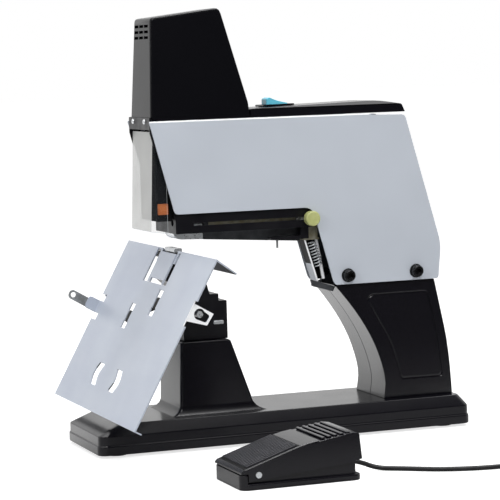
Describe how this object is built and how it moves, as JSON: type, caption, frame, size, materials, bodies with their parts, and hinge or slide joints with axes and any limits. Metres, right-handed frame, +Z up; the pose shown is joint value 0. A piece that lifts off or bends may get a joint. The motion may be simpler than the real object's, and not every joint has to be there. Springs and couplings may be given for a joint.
{
  "type": "long-reach electric stapler",
  "caption": "Long-reach electric stapler: boxed arm over a sloping saddle table, tall driver hood, clear head guard and a corded foot pedal.",
  "frame": {"origin": "middle of the machine base, on the surface that it stands on; the flat field of the base plate is 1.8 mm above it", "axes": "+X towards the rear column, -Y the side with the clamping knob and the foot pedal, +Z up"},
  "size_m": [0.4876, 0.4984, 0.4407],
  "materials": {
    "black_plastic": "fine-grained moulded plastic",
    "black_paint": "satin black paint",
    "pale_paint": "pale blue-grey powder coat",
    "dark_steel": "dark coated sheet steel",
    "steel": "bright steel",
    "black_steel": "blackened steel",
    "rubber": "black rubber",
    "orange_rubber": "orange rubber",
    "blue_clear": "translucent blue plastic",
    "clear_plastic": "clear moulded plastic",
    "yellow_green": "yellow-green plastic",
    "khaki_plastic": "khaki plastic",
    "copper_winding": "lacquered winding wire",
    "green_board": "coated circuit board",
    "cord": "black flexible sheath"
  },
  "bodies": {
    "machine": {"base_cover": "black_plastic", "base_plate": "dark_steel", "foot_front_near": "rubber", "foot_front_far": "rubber", "foot_rear_near": "rubber", "foot_rear_far": "rubber", "column_shell_near": "black_plastic", "column_shell_far": "black_plastic", "frame_plate_near": "dark_steel", "frame_plate_far": "dark_steel", "post_cover": "black_plastic", "anvil_bracket": "black_paint", "anvil": "steel", "arm_panel_near": "pale_paint", "panel_screw_near_1": "black_steel", "panel_screw_near_2": "black_steel", "arm_panel_far": "pale_paint", "panel_screw_far_1": "black_steel", "panel_screw_far_2": "black_steel", "arm_top_cover": "black_plastic", "rear_cover": "black_plastic", "power_inlet": "black_plastic", "pedal_socket": "steel", "rocker_bezel": "black_plastic", "hood": "black_plastic", "solenoid_frame": "dark_steel", "solenoid_winding": "copper_winding", "head_guide": "black_plastic", "side_bumper": "orange_rubber", "control_board": "green_board", "slide_channel": "black_paint", "magazine": "black_paint", "magazine_nose": "steel", "staple_strip": "steel", "throat_lip": "black_paint", "throat_bracket": "khaki_plastic", "throat_spring": "steel", "guard_bracket": "black_plastic", "saddle_tongue": "pale_paint", "table_hinge_pin": "steel", "pedal_base": "black_plastic", "pedal_pin": "steel", "pedal_switch": "black_plastic", "pedal_strain_relief": "rubber", "pedal_cord": "cord", "pedal_cord_coil": "cord", "pedal_plug": "black_plastic"},
    "plunger_body": {"plunger": "steel", "driver_blade": "steel"},
    "pusher": {"staple_pusher": "steel"},
    "margin_gauge": {"margin_slider": "black_plastic", "margin_stop": "steel"},
    "knob": {"margin_knob": "yellow_green"},
    "rocker": {"power_rocker": "blue_clear"},
    "guard": {"head_guard": "clear_plastic"},
    "table": {"table_plate": "pale_paint", "table_rod": "steel", "table_stop_pads": "rubber"},
    "catch": {"table_catch": "steel"},
    "treadle": {"pedal_treadle": "black_plastic"}
  },
  "joints": [
    {"name": "driver_stroke", "type": "slide", "parent": "machine", "child": "plunger_body", "axis": [0, 0, 1], "range_m": [-0.016, 0], "stiffness_N_per_m": 300, "springref_m": 0.025},
    {"name": "pusher_travel", "type": "slide", "parent": "machine", "child": "pusher", "axis": [1, 0, 0], "range_m": [0, 0.047], "stiffness_N_per_m": 60, "springref_m": -0.06},
    {"name": "margin_travel", "type": "slide", "parent": "machine", "child": "margin_gauge", "axis": [1, 0, 0], "range_m": [-0.09, 0]},
    {"name": "knob_turn", "type": "hinge", "parent": "margin_gauge", "child": "knob", "pos_m": [0.0365, -0.04, 0.225], "axis": [0, 1, 0], "range_deg": [-180, 0]},
    {"name": "rocker_tilt", "type": "hinge", "parent": "machine", "child": "rocker", "pos_m": [0.015, 0, 0.3395], "axis": [0, 1, 0], "range_deg": [-18, 0]},
    {"name": "guard_lift", "type": "hinge", "parent": "machine", "child": "guard", "pos_m": [-0.1265, 0, 0.312], "axis": [0, 1, 0], "range_deg": [0, 75]},
    {"name": "table_fold", "type": "hinge", "parent": "machine", "child": "table", "pos_m": [-0.10125, 0, 0.1897], "axis": [0, 1, 0], "range_deg": [0, 61]},
    {"name": "catch_turn", "type": "hinge", "parent": "table", "child": "catch", "pos_m": [-0.1489, 0.1445, 0.1326], "axis": [0, 1, 0], "range_deg": [-70, 70]},
    {"name": "treadle_press", "type": "hinge", "parent": "machine", "child": "treadle", "pos_m": [-0.1165, -0.24325, 0.0134], "axis": [0, 1, 0], "range_deg": [0, 4.5], "stiffness_Nm_per_rad": 3, "springref_deg": -8.59}
  ]
}
